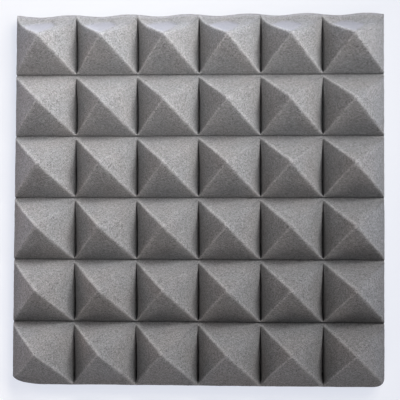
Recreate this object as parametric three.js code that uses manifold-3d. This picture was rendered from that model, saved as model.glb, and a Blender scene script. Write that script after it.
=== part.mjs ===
// Acoustic foam panel: a square tile of open-cell foam whose front is cut into rows of pyramids.
// Its flat back carries a self-adhesive film under a release liner in two halves.
// Millimetres, +Z up. The panel lies on its back, pyramids up; X runs along a row of pyramids.
// The origin is on the underside of the liner, in the middle of the panel.

import * as THREE from "three";
import { mergeVertices } from "three/addons/utils/BufferGeometryUtils.js";
import Module from "manifold-3d";

// Foam tile
const ROWS = 6;
const COLUMNS = 6;
const PITCH = 50; // from groove to groove, both ways
const SLAB_HEIGHT = 12; // solid foam under the grooves
const PYRAMID_HEIGHT = 38; // from the grooves to the tips
const TIP_WIDTH = 2.4; // the last stretch below each tip is rounded over this width

// Far edge, which was trimmed by hand after the pyramids were cut
const EDGE_TRIM = 1.8; // the edge lies this far inside the place of the next groove
const SCALLOP_DEPTH = 1.7; // the edge waves in by this much at the middle of each pyramid
const EDGE_LEDGE = 1; // flat strip between the edge and the foot of the far row's outer faces
const FAR_TIP_SHIFT = 1.3; // tips of the far row stand this much nearer to the trimmed edge
const BEND_SHARES = { run: 0.79, rise: 0.66 }; // where the hollow outer faces of the far row bend

// Corners of the near edge, worn to arcs
const LEFT_CORNER = { run: 29, rise: 7.3 };
const RIGHT_CORNER = { run: 3.6, rise: 3.6 };

// Slits that the cutting wire left along the bottom of the grooves
const LONG_SLIT = { width: 1.5, depth: 4, lengthShare: 0.9 }; // grooves that run along Y
const CROSS_SLIT = { width: 0.8, depth: 2, lengthShare: 0.94 }; // grooves that run along X

// Self-adhesive back
const FILM_HEIGHT = 0.3;
const FILM_INSET = 3; // bare foam left around the film
const FILM_CORNER_RADIUS = 8;
const LINER_HEIGHT = 0.2;
const LINER_GAP = 0.4; // the cut between the two halves of the liner

// How finely curves are drawn
const CURVE_STEPS = 6;
const SLIT_STEPS = 3;
const OVERRUN = 5; // tools that cut or trim reach this far past the foam

// Heights of the layers
const FILM_BOTTOM = LINER_HEIGHT;
const SLAB_BOTTOM = FILM_BOTTOM + FILM_HEIGHT;
const GROOVE_LEVEL = SLAB_BOTTOM + SLAB_HEIGHT;

// Extent of the foam
const WIDTH = COLUMNS * PITCH;
const LENGTH = ROWS * PITCH - EDGE_TRIM;
const LEFT = -WIDTH / 2;
const RIGHT = WIDTH / 2;
const NEAR = -LENGTH / 2;
const FAR = LENGTH / 2;

const X = new THREE.Vector3(1, 0, 0);
const Y = new THREE.Vector3(0, 1, 0);
const Z = new THREE.Vector3(0, 0, 1);

const wasm = await Module();
wasm.setup();

// A closed three.js geometry as a solid that can be joined and cut
function solidOf(geometry) {
  const bare = geometry.clone();
  bare.deleteAttribute("normal");
  bare.deleteAttribute("uv");
  const merged = mergeVertices(bare);
  return new wasm.Manifold(
    new wasm.Mesh({
      numProp: 3,
      vertProperties: merged.attributes.position.array,
      triVerts: new Uint32Array(merged.index.array),
    }),
  );
}

// A solid as a flat-shaded three.js geometry
function geometryOf(solid) {
  const mesh = solid.getMesh();
  const indexed = new THREE.BufferGeometry();
  indexed.setAttribute("position", new THREE.BufferAttribute(mesh.vertProperties, 3));
  indexed.setIndex(new THREE.BufferAttribute(mesh.triVerts, 1));
  const geometry = indexed.toNonIndexed();
  geometry.computeVertexNormals();
  return geometry;
}

function extruded(shape, depth, curveSegments) {
  return new THREE.ExtrudeGeometry(shape, { depth, curveSegments, bevelEnabled: false });
}

// A plan shape as a solid between two heights
function plate(shape, bottom, top, steps = CURVE_STEPS) {
  return solidOf(extruded(shape, top - bottom, steps).translate(0, 0, bottom));
}

// Outline

const columnLine = (column) => LEFT + column * PITCH;
const rowLine = (line) => NEAR + line * PITCH;

// The far edge waves in once for each pyramid, drawn from right to left
function addScallops(shape) {
  for (let column = COLUMNS; column > 0; column -= 1) {
    const right = columnLine(column);
    const left = columnLine(column - 1);
    const middle = (left + right) / 2;
    const deepest = FAR - SCALLOP_DEPTH;
    const sixth = (right - left) / 6;
    shape.quadraticCurveTo(right - sixth, FAR, right - 2 * sixth, (FAR + deepest) / 2);
    shape.quadraticCurveTo(middle + sixth / 2, deepest, middle, deepest);
    shape.quadraticCurveTo(middle - sixth / 2, deepest, left + 2 * sixth, (FAR + deepest) / 2);
    shape.quadraticCurveTo(left + sixth, FAR, left, FAR);
  }
}

// The foam seen from above
function foamOutline() {
  const shape = new THREE.Shape();
  shape.moveTo(LEFT, FAR);
  shape.lineTo(LEFT, NEAR + LEFT_CORNER.rise);
  shape.absellipse(
    LEFT + LEFT_CORNER.run,
    NEAR + LEFT_CORNER.rise,
    LEFT_CORNER.run,
    LEFT_CORNER.rise,
    Math.PI,
    1.5 * Math.PI,
  );
  shape.absellipse(
    RIGHT - RIGHT_CORNER.run,
    NEAR + RIGHT_CORNER.rise,
    RIGHT_CORNER.run,
    RIGHT_CORNER.rise,
    1.5 * Math.PI,
    2 * Math.PI,
  );
  shape.lineTo(RIGHT, FAR);
  addScallops(shape);
  return shape;
}

// Slits in the grooves

// A slit is widest at its middle and closes at both ends
function slitShape({ width, lengthShare }) {
  const reach = (PITCH * lengthShare) / 2;
  const shape = new THREE.Shape();
  shape.moveTo(-reach, 0);
  shape.quadraticCurveTo(0, -width, reach, 0);
  shape.quadraticCurveTo(0, width, -reach, 0);
  return shape;
}

function slit(size, turn, x, y) {
  const bottom = GROOVE_LEVEL - size.depth;
  const height = size.depth + PYRAMID_HEIGHT;
  const geometry = extruded(slitShape(size), height, SLIT_STEPS);
  return solidOf(geometry.rotateZ(turn).translate(x, y, bottom));
}

const longSlit = (line, row) =>
  slit(LONG_SLIT, Math.PI / 2, columnLine(line), rowLine(row) + PITCH / 2);
const crossSlit = (column, line) =>
  slit(CROSS_SLIT, 0, columnLine(column) + PITCH / 2, rowLine(line));

// Every slit of the panel, keyed by the groove and the pyramid beside it
function allSlits() {
  const slits = new Map();
  for (let line = 1; line < COLUMNS; line += 1)
    for (let row = 0; row < ROWS; row += 1) slits.set(`long ${line} ${row}`, longSlit(line, row));
  for (let line = 1; line < ROWS; line += 1)
    for (let column = 0; column < COLUMNS; column += 1)
      slits.set(`cross ${column} ${line}`, crossSlit(column, line));
  return slits;
}

// Pyramids

// The side view of a ridge roof from one groove to the next, its top rounded over TIP_WIDTH.
// A bend makes the second slope hollow.
function roofShape(start, top, end, bend) {
  const half = TIP_WIDTH / 2;
  const rise = PYRAMID_HEIGHT / (top - start - half / 2);
  const apex = rise * (top - start);
  const shoulder = apex - rise * half;
  const shape = new THREE.Shape();
  shape.moveTo(start, 0);
  shape.lineTo(top - half, shoulder);
  shape.quadraticCurveTo(top, apex, top + half, shoulder);
  if (bend) {
    const bendAt = end + (top - end) * bend.run;
    shape.quadraticCurveTo(bendAt, PYRAMID_HEIGHT * bend.rise, end, 0);
  } else {
    shape.lineTo(end, 0);
  }
  shape.lineTo(start, 0);
  return shape;
}

// Roof over one column of pyramids, its ridge along Y
function columnRoof(column) {
  const start = columnLine(column);
  const end = columnLine(column + 1);
  const shape = roofShape(start, (start + end) / 2, end);
  const along = new THREE.Matrix4().makeBasis(X, Z, Y.clone().negate());
  const geometry = extruded(shape, LENGTH + 2 * OVERRUN, CURVE_STEPS).applyMatrix4(along);
  return solidOf(geometry.translate(0, FAR + OVERRUN, GROOVE_LEVEL));
}

// Roof over one row of pyramids, its ridge along X; the far row leans to the trimmed edge
function rowRoof(row) {
  const start = rowLine(row);
  const far = row === ROWS - 1;
  const end = far ? FAR - EDGE_LEDGE : rowLine(row + 1);
  const top = start + PITCH / 2 + (far ? FAR_TIP_SHIFT : 0);
  const shape = roofShape(start, top, end, far ? BEND_SHARES : null);
  const along = new THREE.Matrix4().makeBasis(Y, Z, X);
  const geometry = extruded(shape, WIDTH + 2 * OVERRUN, CURVE_STEPS).applyMatrix4(along);
  return solidOf(geometry.translate(LEFT - OVERRUN, 0, GROOVE_LEVEL));
}

// The slits that run along the four sides of one pyramid
function slitsAround(slits, column, row) {
  const keys = [
    `long ${column} ${row}`,
    `long ${column + 1} ${row}`,
    `cross ${column} ${row}`,
    `cross ${column} ${row + 1}`,
  ];
  return keys.filter((key) => slits.has(key)).map((key) => slits.get(key));
}

function pyramids(slits) {
  const trim = plate(foamOutline(), GROOVE_LEVEL, GROOVE_LEVEL + PYRAMID_HEIGHT + OVERRUN);
  const made = [];
  for (let row = 0; row < ROWS; row += 1) {
    for (let column = 0; column < COLUMNS; column += 1) {
      let solid = columnRoof(column).intersect(rowRoof(row)).intersect(trim);
      for (const cut of slitsAround(slits, column, row)) solid = solid.subtract(cut);
      made.push({ name: `pyramid_r${ROWS - row}_c${column + 1}`, solid });
    }
  }
  return made;
}

function foamBase(slits) {
  let solid = plate(foamOutline(), SLAB_BOTTOM, GROOVE_LEVEL);
  for (const cut of slits.values()) solid = solid.subtract(cut);
  return solid;
}

// Self-adhesive back

function roundedRectangle(left, right, near, far, radius) {
  const shape = new THREE.Shape();
  shape.moveTo(left, far - radius);
  shape.absarc(left + radius, near + radius, radius, Math.PI, 1.5 * Math.PI);
  shape.absarc(right - radius, near + radius, radius, 1.5 * Math.PI, 2 * Math.PI);
  shape.absarc(right - radius, far - radius, radius, 0, Math.PI / 2);
  shape.absarc(left + radius, far - radius, radius, Math.PI / 2, Math.PI);
  return shape;
}

// The film keeps the same border of bare foam all round, measured from the wavy edge too
function filmShape() {
  return roundedRectangle(
    LEFT + FILM_INSET,
    RIGHT - FILM_INSET,
    NEAR + FILM_INSET,
    FAR - SCALLOP_DEPTH - FILM_INSET,
    FILM_CORNER_RADIUS,
  );
}

function adhesiveFilm() {
  return plate(filmShape(), FILM_BOTTOM, SLAB_BOTTOM);
}

// One half of the liner: side is -1 on the left and 1 on the right
function linerHalf(side) {
  const whole = plate(filmShape(), 0, FILM_BOTTOM);
  const inner = side * (LINER_GAP / 2);
  const outer = side * (WIDTH / 2 + OVERRUN);
  const half = new THREE.BoxGeometry(
    Math.abs(outer - inner),
    LENGTH + 2 * OVERRUN,
    FILM_BOTTOM + 2 * OVERRUN,
  ).translate((inner + outer) / 2, 0, 0);
  return whole.intersect(solidOf(half));
}

// Materials

const foamMaterial = () =>
  new THREE.MeshStandardMaterial({ color: 0x9c9a98, roughness: 0.97, metalness: 0 });
const filmMaterial = () =>
  new THREE.MeshStandardMaterial({ color: 0xd8d2c0, roughness: 0.35, metalness: 0 });
const linerMaterial = () =>
  new THREE.MeshStandardMaterial({ color: 0xf0eee8, roughness: 0.5, metalness: 0 });

// Assembly

const group = new THREE.Group();

function place(name, solid, material) {
  const mesh = new THREE.Mesh(geometryOf(solid), material);
  mesh.name = name;
  group.add(mesh);
}

const slits = allSlits();
place("foam_base", foamBase(slits), foamMaterial());
for (const { name, solid } of pyramids(slits)) place(name, solid, foamMaterial());
place("adhesive_film", adhesiveFilm(), filmMaterial());
place("liner_left", linerHalf(-1), linerMaterial());
place("liner_right", linerHalf(1), linerMaterial());

export default group;
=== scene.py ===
"""Acoustic foam panel on a pale floor, seen from above.

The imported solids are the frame. The foam is modelled again over them, pyramid by pyramid, as soft
open-cell foam. The film and the liner on the back keep their solids. Metres, +Z up.
"""

import math
import re

import bpy
from mathutils import Euler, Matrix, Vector


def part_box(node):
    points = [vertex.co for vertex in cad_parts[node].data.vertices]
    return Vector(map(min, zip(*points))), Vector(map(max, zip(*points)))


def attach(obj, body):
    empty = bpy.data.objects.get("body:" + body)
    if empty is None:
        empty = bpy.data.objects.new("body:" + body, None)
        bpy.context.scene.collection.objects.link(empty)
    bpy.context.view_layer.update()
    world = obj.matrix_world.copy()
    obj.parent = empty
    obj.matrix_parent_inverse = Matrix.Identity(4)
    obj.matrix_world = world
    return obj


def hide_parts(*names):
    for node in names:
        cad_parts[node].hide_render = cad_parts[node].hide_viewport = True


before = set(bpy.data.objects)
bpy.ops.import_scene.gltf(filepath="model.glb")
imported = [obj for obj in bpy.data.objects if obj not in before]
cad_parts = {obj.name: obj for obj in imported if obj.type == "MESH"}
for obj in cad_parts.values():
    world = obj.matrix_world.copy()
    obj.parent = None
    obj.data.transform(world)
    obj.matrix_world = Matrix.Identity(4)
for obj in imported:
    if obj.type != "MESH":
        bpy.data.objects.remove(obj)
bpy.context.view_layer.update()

MM = 0.001

# Foam shape that the solids leave plain
TIP_SOFTNESS = 8.0 * MM  # height over which the two slopes of a roof melt together at its top
FAR_TIP_SOFTNESS = 24.0 * MM  # the same over the trimmed far faces, where the tips are cut to a bowl
FAR_TIP_BLEND = 1.5 * MM
RIDGE_SOFTNESS = 3.2 * MM  # height over which two faces melt together along a ridge
PYRAMID_STEPS = 96
EDGE_CROWDING = 0.55  # how much closer the mesh lines are along the foot of a pyramid
BASE_STEPS = 37
WALL_STEPS = 8
MERGE_DISTANCE = 0.01 * MM
SHARP_ANGLE = 50  # degrees between two faces from which their edge is drawn sharp
SMOOTH_MIN_PARTS = 6.0  # a smooth minimum lies this part of its softness under the crossing

# Trench between two rows, on the near side of the pitch line, steeper on the side of that line
TRENCH_WIDTH = 2.8 * MM
TRENCH_DEPTH = 2.8 * MM
TRENCH_BOTTOM = 0.7 * MM  # from the pitch line to the deepest line
TRENCH_SHOULDER = 0.2 * MM  # how far from the rim the foam bends down into it

# Deep slit between two columns, blunt at its near end and drawn out to a point at its far end
SLIT_WIDTH = 3.3 * MM
SLIT_DEPTH = 11 * MM
SLIT_SHOULDER = 1.2 * MM
SLIT_START_SHARE = 0.01  # of a pyramid's side, from its near foot
NEAR_SLIT_START_SHARE = 0.027  # the same in the near row, where a rim closes the slits
SLIT_BLUNT_SHARE = 0.13  # of a slit's length, over which its near end opens
SLIT_END_SHARE = 0.97
SLIT_TAPER = 3.0  # power by which a slit narrows toward its far end
SLIT_DEPTH_POWER = 0.5  # how soon it reaches its depth as it opens
SLIT_LEAN = 1.6 * MM  # how much further a slit opens to its left, at its widest
LEAN_PEAK_SHARE = 0.3  # of a pyramid's side, where it opens furthest
LEAN_END_SHARE = 0.7  # where it opens no further than to its right

# Trimmed far edge: it waves in, and each far face is scooped out from its left ridge to a crease
SCALLOP_DEPTH = 1.8 * MM
SCALLOP_REACH = 20 * MM
SCALLOP_PITCH = 48 * MM
SCALLOP_START = 21.5 * MM  # from the left edge to the first place where the far edge waves in most
FAR_TIP_SHIFT = 1.3 * MM
FAR_HOLLOW = 1.5  # power of the far faces' profile, where 1 is a flat face
PINCH_START = 29.2 * MM  # from the left edge to the first pinch of a crease
PINCH_SIZE = (3.5 * MM, 0.9 * MM)
PINCH_DEPTH = 1.6 * MM
SCOOP_STEEPNESS = 0.12
SCOOP_DEPTH = 1.6 * MM
SCOOP_LEFT = (-15.5 * MM, 12.5 * MM)  # places from the tip: across, and toward the far edge
SCOOP_RIGHT = (12.0 * MM, 9.0 * MM)
SCOOP_REACH = 17 * MM
SCOOP_EDGE = 2.8 * MM
SCOOP_SLANT = 1.2  # slope of the line that bounds it on the near right
CREASE_POWERS = (2.6, 1.3)  # how the crease bends, left and right of the pinch
RIM_REACH = 1.4 * MM  # width of the smooth strip along the far edge, which also takes the scoop's painted light
RIM_SHARE = 0.8  # how much of the scoop's smooth finish and painted light that strip has

# Worn corners of the near edge
LEFT_CORNER_RUN = 29 * MM
LEFT_CORNER_RISE = 7.3 * MM
RIGHT_CORNER_RUN = 11 * MM
RIGHT_CORNER_RISE = 7 * MM
CORNER_REACH = 20 * MM

# How far the edges of the foam stand out over the solids, or inside them where it is negative
NEAR_RIM = 1.4 * MM
NEAR_RIM_REACH = 5 * MM
FAR_RIM = 0.3 * MM
LEFT_RIM = -0.7 * MM
RIGHT_RIM = (-1.9 * MM, -0.9 * MM)  # at the near and at the far end
SIDE_RIM_REACH = 10 * MM
EDGE_FADE = 2.0  # power by which what is done to an edge fades inward

# Uneven foam: how far it strays, and over what length
SWAY = 0.35 * MM
SWAY_SIZE = 110 * MM
DENT_DEPTH = 0.25 * MM
DENT_SIZE = 16 * MM
LUMP_HEIGHT = 0.16 * MM
LUMP_SIZE = 2.4 * MM
HELD_HEIGHT = 4 * MM  # over the back, up to which the flat back holds the foam true

# Foam as a material
WARM_FOAM_COLOR = (0.262, 0.255, 0.254)  # the dye is a little uneven
COOL_FOAM_COLOR = (0.255, 0.2555, 0.259)
DYE_PATCH_SIZE = 26 * MM
DYE_CONTRAST = 3.0
DYE_NOISE = {"Detail": 1.0, "Roughness": 0.5}
FOAM_ROUGHNESS = 0.95
FOAM_SPECULAR = 0.2
SCOOP_PAINTED_LIGHT_COLOR = (0.325, 0.325, 0.357)  # the smooth cut under a far tip, painted paler and bluer as painted light from the pale floor
SCOOP_SMOOTHNESS = 0.8
LIGHT_REACH = 25 * MM  # how far light wanders inside the foam
FORWARD_SCATTER = 0.8
PORE_SIZE = 1.0 * MM
STRUT_REACH = 0.28  # share of a pore over which the strut beside it fades
STRUT_LEVEL = 0.4  # of a strut, where it neither lightens nor darkens
STRUT_CONTRAST = 0.31
PORE_CONTRAST = 0.16
GRAIN_BUMP = 0.15
GRAIN_DEPTH = 0.25 * MM
DARKEST_TONE = 0.1
MIDDLE = 0.5  # of a texture whose values run from 0 to 1
BLOTCH_SIZE = 1.6 * MM
BLOTCH_CONTRAST = 0.42
BLOTCH_NOISE = {"Detail": 3.0, "Roughness": 0.7}
SCATTER_SHARE = 0.6  # how much of the light wanders inside before it leaves
FOOT_GRAIN = 2.0  # strength of the grain where the foam is thin
BODY_GRAIN = 2.8  # the same where it is thick, since scattering washes some of it out
THIN_FOAM = 3 * MM  # height over the grooves from which light starts to wander inside
THICK_FOAM = 18 * MM

# Painted light: pale bands painted along the ridges where light comes through the foam, and painted shade on
# the ridge that faces the light. Heights over which the roofs differ.
BAND_SHIFT = 1.8 * MM  # how far the near right band lies into the near face
BAND_REACH = 4.2 * MM
THIN_BAND_REACH = 2.2 * MM
THIN_BAND_SHARE = 0.5
PAINTED_RIDGE_SHADE_SHARE = 0.6  # painted shade on the ridge that faces the light, where less light comes through
BAND_BLEND = 3 * MM
# how much painted light the bands add to the foam's colour
PAINTED_RIDGE_LIGHT = 0.42

# Film and liner on the back. Tones: how much the grain, the smudges and the rubbed border darken.
# Roughness: the sheet's own, then what the grain and the marks add.
FILM_LOOK = {
    "color": (0.68, 0.64, 0.52),
    "grain_size": 3 * MM,
    "grain_stretch": 1.0,
    "tones": (0.18, 0.14, 0.3),
    "roughness": (0.3, 0.15, 0.2),
    "depth": 0.08 * MM,
}
LINER_LOOK = {
    "color": (0.86, 0.85, 0.81),
    "grain_size": 0.9 * MM,
    "grain_stretch": 4.0,
    "tones": (0.1, 0.07, 0.16),
    "roughness": (0.5, 0.16, 0.12),
    "depth": 0.015 * MM,
}
LEAST_ROUGHNESS = 0.05
SHEET_BUMP = 0.6
SHEET_NOISE = {"Detail": 4.0}
RUBBED_BORDER = 6 * MM
RUB_LEVEL = 0.4
SMUDGE_SIZE = 30 * MM
SMUDGE_LEVEL = 0.48
SMUDGE_CONTRAST = 4.0
SMUDGE_NOISE = {"Detail": 5.0, "Roughness": 0.6}

# Camera and floor
FOCAL_LENGTH = 119.2  # the lens and its sensor in millimetres, as a camera gives them
SENSOR_WIDTH = 36.0
CAMERA_PLACE = (67.5 * MM, -64.7 * MM, 1075.1 * MM)
CAMERA_TURN = (3.388, 3.552, 0.221)  # degrees
FLOOR_SIZE = 6.0
FLOOR_ROUGHNESS = 0.6
FLOOR_GAP = 0.05 * MM  # under the liner, so that the two don't share a plane
FLOOR_COLOR = (0.62, 0.7, 0.86)
FLOOR_GLOW = (0.625, 0.662, 0.76)  # what is left of the floor's white in the deepest shadow
FLOOR_SHADE = (0.3, 0.276, 0.226)  # what the lamps add to it
FLOOR_PAINTED_FALL = 2.0  # painted shade and light: how much less they add for each metre toward the far side, so the floor is painted darker there, where the lamps light it more, and lighter on the near side
FLOOR_FALL_REACH = 0.2

LAMP_SOFTNESS = 1.0  # share of a lamp's cone over which it fades out

# Lamps: bearing and height in degrees, distance, aim on the floor, cone in degrees, radius, power, colour
LAMPS = {
    "key light": (50, 44, 1.8, (-0.35, 0.3), 50, 0.45, 120.0, (1.0, 0.995, 1.0)),
    "right light": (18, 48, 1.8, (-0.35, 0.3), 50, 0.12, 16.0, (1.0, 0.995, 0.99)),
    "far light": (70, 46, 1.8, (-0.3, 0.35), 50, 0.3, 92.0, (1.0, 1.0, 1.01)),
    "top light": (0, 60, 0.5, (-0.45, 0.75), 120, 0.15, 6.0, (1.0, 1.0, 1.0)),
    "overhead light": (90, 80, 0.8, (-0.05, 0.2), 34, 0.15, 6.4, (1.0, 1.0, 1.0)),
    "near fill": (270, 30, 0.9, (0.0, 0.0), 120, 0.3, 7.0, (1.06, 1.0, 0.97)),
    "left fill": (180, 11, 0.5, (0.4, 0.0), 120, 0.15, 1.3, (1.2, 1.0, 0.94)),
    "far left fill": (150, 17, 1.8, (-0.4, 0.2), 40, 0.45, 22.0, (1.04, 1.0, 1.02)),
    "right fill": (0, 14, 0.9, (0.0, 0.0), 70, 0.25, 4.0, (0.95, 0.98, 1.1)),
}


# Sizes taken from the frame

PYRAMID_NAME = re.compile(r"pyramid_r(\d+)_c(\d+)")
CELLS = {
    name: tuple(int(part) for part in PYRAMID_NAME.fullmatch(name).groups())
    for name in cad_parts
    if PYRAMID_NAME.fullmatch(name)
}
ROWS = max(row for row, column in CELLS.values())
COLUMNS = max(column for row, column in CELLS.values())
FOAM_LOW, FOAM_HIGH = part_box("foam_base")
INNER_LOW, INNER_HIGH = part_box("pyramid_r3_c3")
PITCH = INNER_HIGH.x - INNER_LOW.x
GROOVE_LEVEL = INNER_LOW.z
PYRAMID_HEIGHT = INNER_HIGH.z - INNER_LOW.z


# Node trees

MIX_A, MIX_B, MIX_RESULT = 6, 7, 2  # the sockets of a Mix node that hold colours


class Field:
    """A number that changes over a surface: the output of a node. Arithmetic on it adds nodes."""

    def __init__(self, tree, socket):
        self.tree = tree
        self.socket = socket

    def math(self, operation, *others):
        return math_node(self.tree, operation, self, *others)

    def __add__(self, other):
        return self.math("ADD", other)

    def __radd__(self, other):
        return self.math("ADD", other)

    def __sub__(self, other):
        return self.math("SUBTRACT", other)

    def __rsub__(self, other):
        return math_node(self.tree, "SUBTRACT", other, self)

    def __mul__(self, other):
        return self.math("MULTIPLY", other)

    def __rmul__(self, other):
        return self.math("MULTIPLY", other)

    def __truediv__(self, other):
        return self.math("DIVIDE", other)

    def __rtruediv__(self, other):
        return math_node(self.tree, "DIVIDE", other, self)

    def __pow__(self, other):
        return self.math("POWER", other)

    def above(self, limit):
        """1 where the number is over the limit, and 0 elsewhere."""
        return self.math("GREATER_THAN", limit)

    def below(self, limit):
        return self.math("LESS_THAN", limit)

    def kept(self, low=0.0, high=1.0):
        """The number, kept between two others."""
        return self.math("MAXIMUM", low).math("MINIMUM", high)


def plug(tree, socket, value):
    """Links a field or an output to an input, or writes a plain value in it."""
    if isinstance(value, Field):
        value = value.socket
    if isinstance(value, bpy.types.NodeSocket):
        tree.links.new(value, socket)
    else:
        socket.default_value = value


def add_node(tree, kind, inputs=None, **settings):
    node = tree.nodes.new(kind)
    for key, value in settings.items():
        setattr(node, key, value)
    for key, value in (inputs or {}).items():
        plug(tree, node.inputs[key], value)
    return node


def math_node(tree, operation, *values):
    node = add_node(tree, "ShaderNodeMath", dict(enumerate(values)), operation=operation)
    return Field(tree, node.outputs[0])


def axes_of(tree, vector):
    node = add_node(tree, "ShaderNodeSeparateXYZ", {0: vector})
    return [Field(tree, output) for output in node.outputs]


def vector_of(tree, x, y, z):
    return add_node(tree, "ShaderNodeCombineXYZ", {0: x, 1: y, 2: z}).outputs[0]


def socket_kind(value):
    if isinstance(value, bpy.types.Material):
        return "NodeSocketMaterial"
    return "NodeSocketInt" if isinstance(value, int) else "NodeSocketFloat"


def new_tree(name, kind, inputs, outputs=()):
    """A node tree with named inputs that hold plain values to start with."""
    tree = bpy.data.node_groups.new(name, kind)
    for label, value in inputs.items():
        socket_type = value if isinstance(value, str) else socket_kind(value)
        socket = tree.interface.new_socket(label, in_out="INPUT", socket_type=socket_type)
        if not isinstance(value, str):
            socket.default_value = value
    for label, socket_type in dict(outputs).items():
        tree.interface.new_socket(label, in_out="OUTPUT", socket_type=socket_type)
    source = tree.nodes.new("NodeGroupInput")
    given = {
        label: Field(tree, source.outputs[label]) if value != "NodeSocketGeometry" else source.outputs[label]
        for label, value in inputs.items()
    }
    return tree, given


def end_tree(tree, **outputs):
    sink = tree.nodes.new("NodeGroupOutput")
    for label, value in outputs.items():
        plug(tree, sink.inputs[label.replace("_", " ")], value)


# Shape of the foam

def slit_profile(share, start):
    """How open a slit is, from 0 to 1, along the side of a pyramid."""
    along = ((share - start) / (SLIT_END_SHARE - start)).kept()
    blunt = 1 - (along / SLIT_BLUNT_SHARE).kept()
    return (1 - blunt * blunt).math("SQRT") * (1 - along ** SLIT_TAPER)


def lean_profile(share):
    """How much further a slit opens to its left, from 0 to 1, along the side of a pyramid."""
    rise = (share / LEAN_PEAK_SHARE).kept()
    return rise * (1 - ((share - LEAN_PEAK_SHARE) / (LEAN_END_SHARE - LEAN_PEAK_SHARE)).kept())


def crowded(share):
    """A share of the way across, with more of the mesh lines near both ends."""
    return share - (share * (2 * math.pi)).math("SINE") * (EDGE_CROWDING / (2 * math.pi))


def shoulder(distance, reach, slit):
    """How far a face has come up to its slope, at a distance from the rim of its slit."""
    return 1 - (-1 * distance / reach).math("EXPONENT") * slit


def smooth_min(a, b, softness):
    return a.math("SMOOTH_MIN", b, softness)


def scoop_fields(across, outward, pinch_place):
    """Where a far face is scooped out, and where its crease is pinched, from 0 to 1.

    The crease runs from the left ridge out to the pinch and back to the right ridge.
    """
    left, right = SCOOP_LEFT, SCOOP_RIGHT
    before = ((pinch_place - across) / (pinch_place - left[0])).kept() ** CREASE_POWERS[0]
    after = ((across - pinch_place) / (right[0] - pinch_place)).kept() ** CREASE_POWERS[1]
    crease = SCOOP_REACH - before * (SCOOP_REACH - left[1]) - after * (SCOOP_REACH - right[1])
    beyond = ((outward - across * SCOOP_SLANT) / SCOOP_EDGE).kept()
    scoop = ((crease - outward) / SCOOP_EDGE).kept() * beyond
    wide = (across - pinch_place) / PINCH_SIZE[0]
    deep = (outward - crease) / PINCH_SIZE[1]
    pinch = (-1 * (wide * wide + deep * deep)).math("EXPONENT")
    return scoop, pinch


def paint_ridge_light_shade(difference, right_of_tip, beyond_tip):
    """How much painted light, and painted shade, lies along each ridge of a pyramid, in place of light that
    comes through the foam.

    Wide painted bands of light lie on the far left and the near right ridge, a thin painted line on the near
    left one, and the far right one gets painted shade, dimmer than the faces beside it.
    """
    left = (0.5 - right_of_tip / BAND_BLEND).kept()
    far = (0.5 + beyond_tip / BAND_BLEND).kept()
    near_right = (1 - left) * (1 - far)
    centre = near_right * BAND_SHIFT
    wide = (1 - (difference - centre).math("ABSOLUTE") / BAND_REACH).kept() * (left * far + near_right)
    thin = (1 - difference.math("ABSOLUTE") / THIN_BAND_REACH).kept() * left * (1 - far)
    ridge_shade_paint = (1 - difference.math("ABSOLUTE") / BAND_REACH).kept() * (1 - left) * far
    return wide + thin * THIN_BAND_SHARE - ridge_shade_paint * PAINTED_RIDGE_SHADE_SHARE


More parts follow.
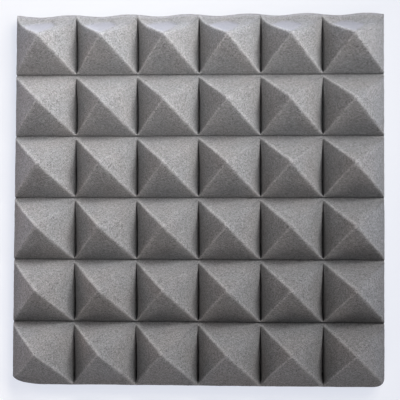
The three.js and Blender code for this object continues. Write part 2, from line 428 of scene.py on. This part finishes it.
def give_tree():
    """Foam is never quite true: every foam piece is bent by the same field, so that edges still meet."""
    tree, given = new_tree(
        "Foam give",
        "GeometryNodeTree",
        {
            "Geometry": "NodeSocketGeometry",
            "Left": 0.0,
            "Right": 0.0,
            "Near": 0.0,
            "Far": 0.0,
            "Back": 0.0,
            "Scallop Start": SCALLOP_START,
            "Scallop Pitch": SCALLOP_PITCH,
            "Scallop Depth": SCALLOP_DEPTH,
            "Sway": SWAY,
            "Dents": DENT_DEPTH,
            "Lumps": LUMP_HEIGHT,
        },
        {"Geometry": "NodeSocketGeometry"},
    )
    place = add_node(tree, "GeometryNodeInputPosition").outputs[0]
    x, y, z = axes_of(tree, place)

    # The far edge waves in about once for each pyramid
    turn = (x - given["Left"] - given["Scallop Start"]) / given["Scallop Pitch"] * (2 * math.pi)
    wave = (1 + turn.math("COSINE")) * 0.5
    at_edge = ((y - given["Far"] + SCALLOP_REACH) / SCALLOP_REACH).kept() ** EDGE_FADE
    inward = (wave * given["Scallop Depth"] - FAR_RIM) * at_edge

    # The near corners are worn in
    def worn(run, rise, distance):
        across = ((run - distance) / run).kept()
        drop = (1 - (1 - across * across).math("SQRT")) * rise
        fade = (1 - (y - given["Near"]) / CORNER_REACH).kept() ** EDGE_FADE
        return drop * fade

    raised = worn(LEFT_CORNER_RUN, LEFT_CORNER_RISE, x - given["Left"])
    raised = raised + worn(RIGHT_CORNER_RUN, RIGHT_CORNER_RISE, given["Right"] - x)

    # The edges stand out or stay back a little
    def rim(distance, reach):
        return (1 - distance / reach).kept() ** EDGE_FADE

    raised = raised - rim(y - given["Near"], NEAR_RIM_REACH) * NEAR_RIM
    length = (y - given["Near"]) / (given["Far"] - given["Near"])
    right_rim = RIGHT_RIM[0] + length * (RIGHT_RIM[1] - RIGHT_RIM[0])
    sideways = rim(given["Right"] - x, SIDE_RIM_REACH) * right_rim
    sideways = sideways - rim(x - given["Left"], SIDE_RIM_REACH) * LEFT_RIM

    # Uneven foam
    held = ((z - given["Back"]) / HELD_HEIGHT).kept()
    total = None
    for amount, size, detail in (
        (given["Sway"], SWAY_SIZE, 0.0),
        (given["Dents"], DENT_SIZE, 1.0),
        (given["Lumps"], LUMP_SIZE, 1.0),
    ):
        noise = add_node(
            tree,
            "ShaderNodeTexNoise",
            {"Vector": place, "Scale": 1 / size, "Detail": detail, "Roughness": 0.5},
        )
        centred = add_node(
            tree,
            "ShaderNodeVectorMath",
            {0: noise.outputs[1], 1: (MIDDLE, MIDDLE, MIDDLE)},
            operation="SUBTRACT",
        )
        scaled = add_node(
            tree,
            "ShaderNodeVectorMath",
            {0: centred.outputs[0], "Scale": amount * held * 2.0},
            operation="SCALE",
        )
        if total is None:
            total = scaled.outputs[0]
        else:
            total = add_node(
                tree, "ShaderNodeVectorMath", {0: total, 1: scaled.outputs[0]}, operation="ADD"
            ).outputs[0]
    shift = vector_of(tree, sideways, raised - inward, 0.0)
    total = add_node(tree, "ShaderNodeVectorMath", {0: total, 1: shift}, operation="ADD").outputs[0]
    moved = add_node(
        tree, "GeometryNodeSetPosition", {"Geometry": given["Geometry"], "Offset": total}
    )
    end_tree(tree, Geometry=moved.outputs[0])
    return tree


GIVE_INPUTS = {
    "Left": FOAM_LOW.x,
    "Right": FOAM_HIGH.x,
    "Near": FOAM_LOW.y,
    "Far": FOAM_HIGH.y,
    "Back": FOAM_LOW.z,
}


def bend_foam(tree, give, geometry):
    node = add_node(tree, "GeometryNodeGroup", node_tree=give)
    plug(tree, node.inputs["Geometry"], geometry)
    for label, value in GIVE_INPUTS.items():
        node.inputs[label].default_value = value
    return node.outputs[0]


def finish_foam(tree, give, geometry, material):
    """Bends the foam, merges what meets, and gives the geometry its finish."""
    geometry = bend_foam(tree, give, geometry)
    merged = add_node(
        tree, "GeometryNodeMergeByDistance", {"Geometry": geometry, "Distance": MERGE_DISTANCE}
    )
    smooth = add_node(tree, "GeometryNodeSetShadeSmooth", {"Geometry": merged.outputs[0]})
    real = add_node(tree, "GeometryNodeRealizeInstances", {"Geometry": smooth.outputs[0]})
    painted = add_node(
        tree, "GeometryNodeSetMaterial", {"Geometry": real.outputs[0], "Material": material}
    )
    end_tree(tree, Geometry=painted.outputs[0])


def open_edges(tree):
    """The edges that have only one face."""
    neighbours = add_node(tree, "GeometryNodeInputMeshEdgeNeighbors").outputs[0]
    return Field(tree, neighbours).below(1.5)


def close_below(tree, geometry, level, steps):
    """Walls from the open edge of a sheet down to a level, and a flat underside."""
    selection = open_edges(tree).socket
    walls = geometry
    _, _, z = axes_of(tree, add_node(tree, "GeometryNodeInputPosition").outputs[0])
    for step in range(steps):
        wall = add_node(
            tree,
            "GeometryNodeExtrudeMesh",
            {"Mesh": walls, "Selection": selection, "Offset Scale": 0.0},
            mode="EDGES",
        )
        selection = wall.outputs["Top"]
        drop = (level - z) / float(steps - step)
        walls = add_node(
            tree,
            "GeometryNodeSetPosition",
            {
                "Geometry": wall.outputs["Mesh"],
                "Selection": selection,
                "Offset": vector_of(tree, 0.0, 0.0, drop),
            },
        ).outputs[0]
    ring = add_node(tree, "GeometryNodeMeshToCurve", {"Mesh": walls, "Selection": selection})
    filled = add_node(tree, "GeometryNodeFillCurve", {"Curve": ring.outputs[0]})
    lowered = add_node(
        tree,
        "GeometryNodeSetPosition",
        {"Geometry": filled.outputs[0], "Offset": vector_of(tree, 0.0, 0.0, level)},
    )
    turned = add_node(tree, "GeometryNodeFlipFaces", {"Mesh": lowered.outputs[0]})
    joined = add_node(tree, "GeometryNodeJoinGeometry")
    tree.links.new(turned.outputs[0], joined.inputs[0])
    tree.links.new(walls, joined.inputs[0])
    return joined.outputs[0]


def pyramid_tree(give, material):
    """One foam pyramid: two crossing roofs, melted together along the ridges."""
    tree, given = new_tree(
        "Foam pyramid",
        "GeometryNodeTree",
        {
            "Steps": PYRAMID_STEPS,
            "Left": -PITCH / 2,
            "Right": PITCH / 2,
            "Near": -PITCH / 2,
            "Far": PITCH / 2,
            "Tip": 0.0,
            "Base": GROOVE_LEVEL,
            "Height": PYRAMID_HEIGHT,
            "Tip Softness": TIP_SOFTNESS,
            "Far Tip Softness": TIP_SOFTNESS,
            "Ridge Softness": RIDGE_SOFTNESS,
            "Ledge": 0.0,
            "Hollow": 1.0,
            "Pinch": 0.0,
            "Scooped": 0.0,
            "Slit": SLIT_WIDTH,
            "Slit Shoulder": SLIT_SHOULDER,
            "Trench Shoulder": TRENCH_SHOULDER,
            "Slit Start": SLIT_START_SHARE,
            "Slit Lean": SLIT_LEAN,
            "Slit Left": 1.0,
            "Slit Right": 1.0,
            "Trench Near": 1.0,
            "Trench Far": 1.0,
            "Foam": material,
        },
        {"Geometry": "NodeSocketGeometry"},
    )
    sheet = add_node(
        tree,
        "GeometryNodeMeshGrid",
        {"Size X": 1.0, "Size Y": 1.0, "Vertices X": given["Steps"], "Vertices Y": given["Steps"]},
    )
    u, v, _ = axes_of(tree, add_node(tree, "GeometryNodeInputPosition").outputs[0])
    u, v = (crowded(share + 0.5) for share in (u, v))
    opening = slit_profile(v, given["Slit Start"])
    left = given["Left"] + opening * given["Slit"] * 0.5 * given["Slit Left"]
    left_half = given["Slit"] * 0.5 + lean_profile(v) * given["Slit Lean"]
    right = given["Right"] - opening * left_half * given["Slit Right"]
    near = given["Near"]
    far = given["Far"]
    x = left + (right - left) * u
    y = near + (far - near) * v

    middle = (given["Left"] + given["Right"]) * 0.5
    height = given["Height"] + (given["Tip Softness"] + given["Ridge Softness"]) / SMOOTH_MIN_PARTS
    rise_left = (x - given["Left"]) / (middle - given["Left"]) * height
    rise_right = (given["Right"] - x) / (given["Right"] - middle) * height
    rise_near = (y - near) / (given["Tip"] - near) * height
    rise_left = rise_left * shoulder(x - left, given["Slit Shoulder"], opening * given["Slit Left"])
    rise_right = rise_right * shoulder(right - x, given["Slit Shoulder"], opening * given["Slit Right"])
    rise_near = rise_near * shoulder(y - near, given["Trench Shoulder"], given["Trench Near"])
    foot = far - given["Ledge"]
    share = ((foot - y) / (foot - given["Tip"])).math("MAXIMUM", 0.0) ** given["Hollow"]
    rise_far = share * height
    rise_far = rise_far * shoulder(far - y, given["Trench Shoulder"], given["Trench Far"])
    far_side = ((y - given["Tip"]) / FAR_TIP_BLEND).kept()
    softness = given["Tip Softness"] + (given["Far Tip Softness"] - given["Tip Softness"]) * far_side
    across = smooth_min(rise_left, rise_right, softness)
    along = smooth_min(rise_near, rise_far, given["Tip Softness"])
    # painted light and painted shade along the ridges, kept for the colour
    band = paint_ridge_light_shade(across - along, x - middle, y - given["Tip"])
    up = smooth_min(across, along, given["Ridge Softness"])
    scoop, pinch = scoop_fields(x - middle, y - given["Tip"], given["Pinch"] - middle)
    below_ridge = (across - rise_far).math("MAXIMUM", 0.0)
    scoop = scoop * (below_ridge / SCOOP_EDGE).kept() * given["Scooped"]
    drop = (below_ridge * SCOOP_STEEPNESS).math("MINIMUM", SCOOP_DEPTH) * scoop
    up = (up - drop - pinch * PINCH_DEPTH * given["Scooped"]).math("MAXIMUM", 0.0)
    # the smooth strip along the far edge, which also gets painted light
    rim = ((y - foot + RIM_REACH) / RIM_REACH).kept() * given["Scooped"] * RIM_SHARE

    marked = sheet.outputs[0]
    body = ((up - THIN_FOAM) / (THICK_FOAM - THIN_FOAM)).kept()
    # where the foam is a smooth cut, with painted light from the floor on it
    smooth = scoop.math("MAXIMUM", rim)
    for label, value in {"band": band, "smooth": smooth, "body": body}.items():
        marked = add_node(
            tree,
            "GeometryNodeStoreNamedAttribute",
            {"Geometry": marked, "Name": label, "Value": value},
            data_type="FLOAT",
            domain="POINT",
        ).outputs[0]
    raised = add_node(
        tree,
        "GeometryNodeSetPosition",
        {"Geometry": marked, "Position": vector_of(tree, x, y, given["Base"] + up)},
    )
    closed = close_below(tree, raised.outputs[0], given["Base"], 1)
    finish_foam(tree, give, closed, given["Foam"])
    return tree


def base_tree(give, material):
    """The foam under the pyramids, with a slit along each groove."""
    tree, given = new_tree(
        "Foam base",
        "GeometryNodeTree",
        {
            "Columns": COLUMNS,
            "Rows": ROWS,
            "Steps": BASE_STEPS,
            "Left": FOAM_LOW.x,
            "Near": FOAM_LOW.y,
            "Far": FOAM_HIGH.y,
            "Pitch": PITCH,
            "Bottom": FOAM_LOW.z,
            "Top": GROOVE_LEVEL,
            "Slit": SLIT_WIDTH,
            "Slit Start": SLIT_START_SHARE,
            "Near Slit Start": NEAR_SLIT_START_SHARE,
            "Slit Lean": SLIT_LEAN,
            "Slit Depth": SLIT_DEPTH,
            "Trench": TRENCH_WIDTH,
            "Trench Depth": TRENCH_DEPTH,
            "Trench Bottom": TRENCH_BOTTOM,
            "Foam": material,
        },
        {"Geometry": "NodeSocketGeometry"},
    )
    columns, rows, steps = given["Columns"], given["Rows"], given["Steps"]
    lines_x = columns * (steps + 1)
    lines_y = rows * (steps + 1)
    sheet = add_node(
        tree,
        "GeometryNodeMeshGrid",
        {
            "Size X": lines_x,
            "Size Y": lines_y,
            "Vertices X": lines_x + 1,
            "Vertices Y": lines_y + 1,
        },
    )
    i, j, _ = axes_of(tree, add_node(tree, "GeometryNodeInputPosition").outputs[0])

    def cell_of(index, lines):
        """Which pyramid a grid line is under, its share of the way across, and whether it is a groove.

        Whole numbers are compared here and below with a number that lies half a step off.
        """
        number = (index + lines * 0.5).math("ROUND")
        cell = (number / (steps + 1)).math("FLOOR")
        rest = number - cell * (steps + 1)
        share = crowded(((rest - 1) / (steps - 1)).kept())
        return cell, share, rest.below(0.5)

    column, u, on_column_line = cell_of(i, lines_x)
    row, v, on_row_line = cell_of(j, lines_y)
    near_row = row.below(0.5)
    start = given["Slit Start"] + (given["Near Slit Start"] - given["Slit Start"]) * near_row
    opening = slit_profile(v, start)
    right_half = opening * given["Slit"] * 0.5
    left_half = right_half + opening * lean_profile(v) * given["Slit Lean"]

    def place(start, end, share, margins, bottom, cell, count, on_line):
        """A grid line's place: shared out between the rims of a cell, or on the bottom of a groove."""
        low = start + margins[0] * cell.above(0.5)
        high = end - margins[1] * cell.below(count - 1.5)
        inside = low + (high - low) * share
        line = start - bottom * cell.above(0.5) * cell.below(count - 0.5)
        return inside + (line - inside) * on_line

    left = given["Left"] + column * given["Pitch"]
    near = given["Near"] + row * given["Pitch"]
    far = (near + given["Pitch"]).math("MINIMUM", given["Far"])
    near = near.math("MINIMUM", given["Far"])
    right = left + given["Pitch"]
    trench, bottom = given["Trench"], given["Trench Bottom"]
    x = place(left, right, u, (right_half, left_half), 0.0, column, columns, on_column_line)
    y = place(near, far, v, (0.0, trench), bottom, row, rows, on_row_line)
    inner_column = on_column_line * column.above(0.5) * column.below(columns - 0.5)
    inner_row = on_row_line * row.above(0.5) * row.below(rows - 0.5)
    slit_depth = opening ** SLIT_DEPTH_POWER * given["Slit Depth"] * inner_column
    depth = slit_depth.math("MAXIMUM", given["Trench Depth"] * inner_row)
    sunk = add_node(
        tree,
        "GeometryNodeSetPosition",
        {"Geometry": sheet.outputs[0], "Position": vector_of(tree, x, y, given["Top"] - depth)},
    )
    merged = add_node(
        tree, "GeometryNodeMergeByDistance", {"Geometry": sunk.outputs[0], "Distance": MERGE_DISTANCE}
    )
    closed = close_below(tree, merged.outputs[0], given["Bottom"], WALL_STEPS)
    finish_foam(tree, give, closed, given["Foam"])
    return tree


def shaped(name, tree, **inputs):
    """A plain mesh made by a node tree with these inputs."""
    empty = bpy.data.objects.new(name, bpy.data.meshes.new(name))
    bpy.context.scene.collection.objects.link(empty)
    modifier = empty.modifiers.new(name, "NODES")
    modifier.node_group = tree
    identifiers = {
        item.name: item.identifier
        for item in tree.interface.items_tree
        if item.item_type == "SOCKET" and item.in_out == "INPUT"
    }
    for label, value in inputs.items():
        modifier[identifiers[label.replace("_", " ")]] = value
    depsgraph = bpy.context.evaluated_depsgraph_get()
    mesh = bpy.data.meshes.new_from_object(empty.evaluated_get(depsgraph))
    bare = empty.data
    empty.modifiers.clear()
    empty.data = mesh
    bpy.data.meshes.remove(bare)
    mesh.name = name
    return empty


# Materials

def principled(material):
    tree = material.node_tree
    return tree, next(node for node in tree.nodes if node.type == "BSDF_PRINCIPLED")


def new_material(name, color, roughness):
    material = bpy.data.materials.new(name)
    material.use_nodes = True
    _, shader = principled(material)
    shader.inputs["Base Color"].default_value = (*color, 1.0)
    shader.inputs["Roughness"].default_value = roughness
    return material


def foam_grain_tree():
    """Open cells: pale struts round dark pores, with soft blotches where the cells run larger.

    Dye says, from 0 to 1, where the foam took the warmer tone.
    """
    tree, given = new_tree(
        "Foam grain",
        "ShaderNodeTree",
        {"Pore Size": PORE_SIZE, "Blotch Size": BLOTCH_SIZE, "Dye Patch Size": DYE_PATCH_SIZE},
        {"Tone": "NodeSocketFloat", "Height": "NodeSocketFloat", "Dye": "NodeSocketFloat"},
    )
    place = add_node(tree, "ShaderNodeTexCoord").outputs["Object"]
    cells, pores = (
        add_node(
            tree,
            "ShaderNodeTexVoronoi",
            {"Vector": place, "Scale": 1 / given["Pore Size"], "Randomness": 1.0},
            feature=feature,
        )
        for feature in ("DISTANCE_TO_EDGE", "F1")
    )
    strut = (1 - Field(tree, cells.outputs["Distance"]) / STRUT_REACH).kept()
    shade, _, _ = axes_of(tree, pores.outputs["Color"])
    blotch = add_node(
        tree,
        "ShaderNodeTexNoise",
        {"Vector": place, "Scale": 1 / given["Blotch Size"], **BLOTCH_NOISE},
    )
    blotch = Field(tree, blotch.outputs[0]) - MIDDLE
    tone = 1 + (strut - STRUT_LEVEL) * STRUT_CONTRAST + (shade - MIDDLE) * PORE_CONTRAST
    tone = tone + blotch * BLOTCH_CONTRAST
    patches = add_node(
        tree,
        "ShaderNodeTexNoise",
        {"Vector": place, "Scale": 1 / given["Dye Patch Size"], **DYE_NOISE},
    )
    dye = ((Field(tree, patches.outputs[0]) - MIDDLE) * DYE_CONTRAST + MIDDLE).kept()
    end_tree(tree, Tone=tone, Height=strut, Dye=dye)
    return tree


def foam_material():
    material = new_material("grey open-cell foam", COOL_FOAM_COLOR, FOAM_ROUGHNESS)
    tree, shader = principled(material)
    grain = add_node(tree, "ShaderNodeGroup", node_tree=foam_grain_tree())
    # Painted light and painted shade along the ridges; where the foam is a smooth cut with painted light on
    # it; and how thick it is.
    band, smooth, body = (
        Field(tree, add_node(tree, "ShaderNodeAttribute", attribute_name=name).outputs["Fac"])
        for name in ("band", "smooth", "body")
    )
    scatter = body * SCATTER_SHARE

    strength = (FOOT_GRAIN + body * (BODY_GRAIN - FOOT_GRAIN)) * (1 - smooth * SCOOP_SMOOTHNESS)
    grain_tone = (Field(tree, grain.outputs["Tone"]) - 1) * strength
    # painted light along the ridges, and painted shade on the ridge that faces the light
    tone = (1 + grain_tone).math("MAXIMUM", DARKEST_TONE) * (1 + band * PAINTED_RIDGE_LIGHT)
    dyed = add_node(
        tree,
        "ShaderNodeMix",
        {
            "Factor": grain.outputs["Dye"],
            MIX_A: (*COOL_FOAM_COLOR, 1.0),
            MIX_B: (*WARM_FOAM_COLOR, 1.0),
        },
        data_type="RGBA",
    )
    # painted light: the scoops and the far rim take a paler, bluer colour for the light that the pale floor
    # throws on them
    colour = add_node(
        tree,
        "ShaderNodeMix",
        {"Factor": smooth, MIX_A: dyed.outputs[MIX_RESULT], MIX_B: (*SCOOP_PAINTED_LIGHT_COLOR, 1.0)},
        data_type="RGBA",
    )
    toned = add_node(
        tree,
        "ShaderNodeVectorMath",
        {0: colour.outputs[MIX_RESULT], "Scale": tone},
        operation="SCALE",
    )
    plug(tree, shader.inputs["Base Color"], toned.outputs[0])
    bump = add_node(
        tree,
        "ShaderNodeBump",
        {"Height": grain.outputs["Height"], "Strength": GRAIN_BUMP, "Distance": GRAIN_DEPTH},
    )
    plug(tree, shader.inputs["Normal"], bump.outputs[0])
    plug(tree, shader.inputs["Subsurface Weight"], scatter)
    shader.inputs["Subsurface Anisotropy"].default_value = FORWARD_SCATTER
    shader.inputs["Subsurface Radius"].default_value = (1.0, 1.0, 1.0)
    shader.inputs["Subsurface Scale"].default_value = LIGHT_REACH
    shader.inputs["Specular IOR Level"].default_value = FOAM_SPECULAR
    return material


def handling_tree():
    """Marks that sheet goods pick up: soft smudges, and a border rubbed by fingers and packing."""
    tree, given = new_tree(
        "Handling marks",
        "ShaderNodeTree",
        {
            "Left": FOAM_LOW.x,
            "Right": FOAM_HIGH.x,
            "Near": FOAM_LOW.y,
            "Far": FOAM_HIGH.y,
            "Border": RUBBED_BORDER,
            "Smudge Size": SMUDGE_SIZE,
        },
        {"Smudge": "NodeSocketFloat", "Rubbed": "NodeSocketFloat"},
    )
    place = add_node(tree, "ShaderNodeTexCoord").outputs["Object"]
    x, y, _ = axes_of(tree, place)
    side = (x - given["Left"]).math("MINIMUM", given["Right"] - x)
    end = (y - given["Near"]).math("MINIMUM", given["Far"] - y)
    noise = add_node(
        tree,
        "ShaderNodeTexNoise",
        {"Vector": place, "Scale": 1 / given["Smudge Size"], **SMUDGE_NOISE},
    )
    blotch = Field(tree, noise.outputs[0])
    edge = (1 - side.math("MINIMUM", end) / given["Border"]).kept() ** EDGE_FADE
    rubbed = (edge * (RUB_LEVEL + blotch)).kept()
    end_tree(tree, Smudge=((blotch - SMUDGE_LEVEL) * SMUDGE_CONTRAST).kept(), Rubbed=rubbed)
    return tree


def sheet_material(name, marks, color, grain_size, grain_stretch, tones, roughness, depth):
    """A thin sheet, with its look as FILM_LOOK and LINER_LOOK give it."""
    material = new_material(name, color, roughness[0])
    tree, shader = principled(material)
    worn = add_node(tree, "ShaderNodeGroup", node_tree=marks)
    smudge, rubbed = (Field(tree, output) for output in worn.outputs)
    x, y, z = axes_of(tree, add_node(tree, "ShaderNodeTexCoord").outputs["Object"])
    noise = add_node(
        tree,
        "ShaderNodeTexNoise",
        {"Vector": vector_of(tree, x, y / grain_stretch, z), "Scale": 1 / grain_size, **SHEET_NOISE},
    )
    grain = Field(tree, noise.outputs[0])
    tone = (1 - (grain - MIDDLE) * tones[0]) * (1 - smudge * tones[1]) * (1 - rubbed * tones[2])
    toned = add_node(tree, "ShaderNodeVectorMath", {0: color, "Scale": tone}, operation="SCALE")
    plug(tree, shader.inputs["Base Color"], toned.outputs[0])
    rough = roughness[0] + (grain - MIDDLE) * roughness[1] + (smudge + rubbed) * roughness[2]
    plug(tree, shader.inputs["Roughness"], rough.kept(LEAST_ROUGHNESS))
    bump = add_node(
        tree, "ShaderNodeBump", {"Height": grain, "Strength": SHEET_BUMP, "Distance": depth}
    )
    plug(tree, shader.inputs["Normal"], bump.outputs[0])
    return material


def dress_back():
    """The film and the liner keep their solids and get the look of a tacky film and of release paper."""
    marks = handling_tree()
    film = sheet_material("tacky film", marks, **FILM_LOOK)
    paper = sheet_material("release paper", marks, **LINER_LOOK)
    for node, material in {"adhesive_film": film, "liner_left": paper, "liner_right": paper}.items():
        for slot in bpy.data.objects[node].material_slots:
            slot.material = material


def floor_material():
    """A pale floor: seen, it is nearly white and keeps the shadow. Lighting the foam, it is plain."""
    material = new_material("pale floor", FLOOR_COLOR, FLOOR_ROUGHNESS)
    tree, plain = principled(material)
    glow = add_node(tree, "ShaderNodeEmission", {"Color": (*FLOOR_GLOW, 1.0), "Strength": 1.0})
    _, y, _ = axes_of(tree, add_node(tree, "ShaderNodeTexCoord").outputs["Object"])
    # painted shade on the floor toward the far side, and painted light toward the near side
    painted_fall = 1 - y.kept(-FLOOR_FALL_REACH, FLOOR_FALL_REACH) * FLOOR_PAINTED_FALL
    shade = add_node(
        tree, "ShaderNodeVectorMath", {0: FLOOR_SHADE, "Scale": painted_fall}, operation="SCALE"
    )
    lit = add_node(tree, "ShaderNodeBsdfDiffuse", {"Color": shade.outputs[0]})
    seen = add_node(tree, "ShaderNodeAddShader", {0: glow.outputs[0], 1: lit.outputs[0]})
    path = add_node(tree, "ShaderNodeLightPath")
    rays = [Field(tree, path.outputs[f"Is {kind} Ray"]) for kind in ("Camera", "Glossy", "Transmission")]
    mixed = add_node(
        tree,
        "ShaderNodeMixShader",
        {0: (rays[0] + rays[1] + rays[2]).kept(), 1: plain.outputs[0], 2: seen.outputs[0]},
    )
    output = next(node for node in tree.nodes if node.type == "OUTPUT_MATERIAL")
    plug(tree, output.inputs["Surface"], mixed.outputs[0])
    return material


# Assembly

def foam_piece(piece, node):
    piece.data.set_sharp_from_angle(angle=math.radians(SHARP_ANGLE))
    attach(piece, "root")
    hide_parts(node)


def build_foam():
    give = give_tree()
    material = foam_material()
    tree = pyramid_tree(give, material)
    for node, (row, column) in CELLS.items():
        low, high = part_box(node)
        far_row = row == 1
        piece = shaped(
            node.replace("pyramid", "foam_pyramid"),
            tree,
            Left=low.x,
            Right=low.x + PITCH,
            Near=low.y,
            Far=FOAM_HIGH.y if far_row else low.y + PITCH - TRENCH_WIDTH,
            Tip=low.y + PITCH / 2 + (FAR_TIP_SHIFT if far_row else 0.0),
            Ledge=FOAM_HIGH.y - high.y if far_row else 0.0,
            Hollow=FAR_HOLLOW if far_row else 1.0,
            Far_Tip_Softness=FAR_TIP_SOFTNESS if far_row else TIP_SOFTNESS,
            Pinch=FOAM_LOW.x + PINCH_START + SCALLOP_PITCH * (column - 1),
            Scooped=float(far_row),
            Slit_Start=SLIT_START_SHARE if row < ROWS else NEAR_SLIT_START_SHARE,
            Slit_Left=float(column > 1),
            Slit_Right=float(column < COLUMNS),
            Trench_Near=float(row < ROWS),
            Trench_Far=float(row > 1),
        )
        foam_piece(piece, node)
    base = shaped("foam_backing", base_tree(give, material))
    foam_piece(base, "foam_base")


def build_floor():
    half = FLOOR_SIZE / 2
    corners = [(-half, -half), (half, -half), (half, half), (-half, half)]
    mesh = bpy.data.meshes.new("floor")
    mesh.from_pydata([(*corner, -FLOOR_GAP) for corner in corners], [], [(0, 1, 2, 3)])
    mesh.materials.append(floor_material())
    floor = bpy.data.objects.new("floor", mesh)
    bpy.context.scene.collection.objects.link(floor)


def build_camera():
    lens = bpy.data.cameras.new("camera")
    lens.lens = FOCAL_LENGTH
    lens.sensor_width = SENSOR_WIDTH
    camera = bpy.data.objects.new("camera", lens)
    camera.location = CAMERA_PLACE
    camera.rotation_euler = Euler([math.radians(angle) for angle in CAMERA_TURN])
    bpy.context.scene.collection.objects.link(camera)
    bpy.context.scene.camera = camera


def spot_light(name, bearing, height, distance, aim, cone, size, power, color):
    """A soft spot that shines from a bearing and a height, in degrees, to a point on the floor."""
    light = bpy.data.lights.new(name, "SPOT")
    light.spot_size = math.radians(cone)
    light.spot_blend = LAMP_SOFTNESS
    light.shadow_soft_size = size
    light.energy = power
    light.color = color
    lamp = bpy.data.objects.new(name, light)
    bearing, height = math.radians(bearing), math.radians(height)
    lamp.location = (
        distance * math.cos(height) * math.cos(bearing),
        distance * math.cos(height) * math.sin(bearing),
        distance * math.sin(height),
    )
    lamp.visible_camera = False
    bpy.context.scene.collection.objects.link(lamp)
    direction = Vector((*aim, 0.0)) - lamp.location
    lamp.rotation_euler = direction.to_track_quat("-Z", "Y").to_euler()


def build_light():
    for name, settings in LAMPS.items():
        spot_light(name, *settings)
    world = bpy.data.worlds.new("studio")
    world.use_nodes = True
    world.node_tree.nodes["Background"].inputs["Strength"].default_value = 0.0
    bpy.context.scene.world = world


bpy.context.scene.view_settings.view_transform = "Standard"
build_camera()
build_foam()
dress_back()
build_floor()
build_light()
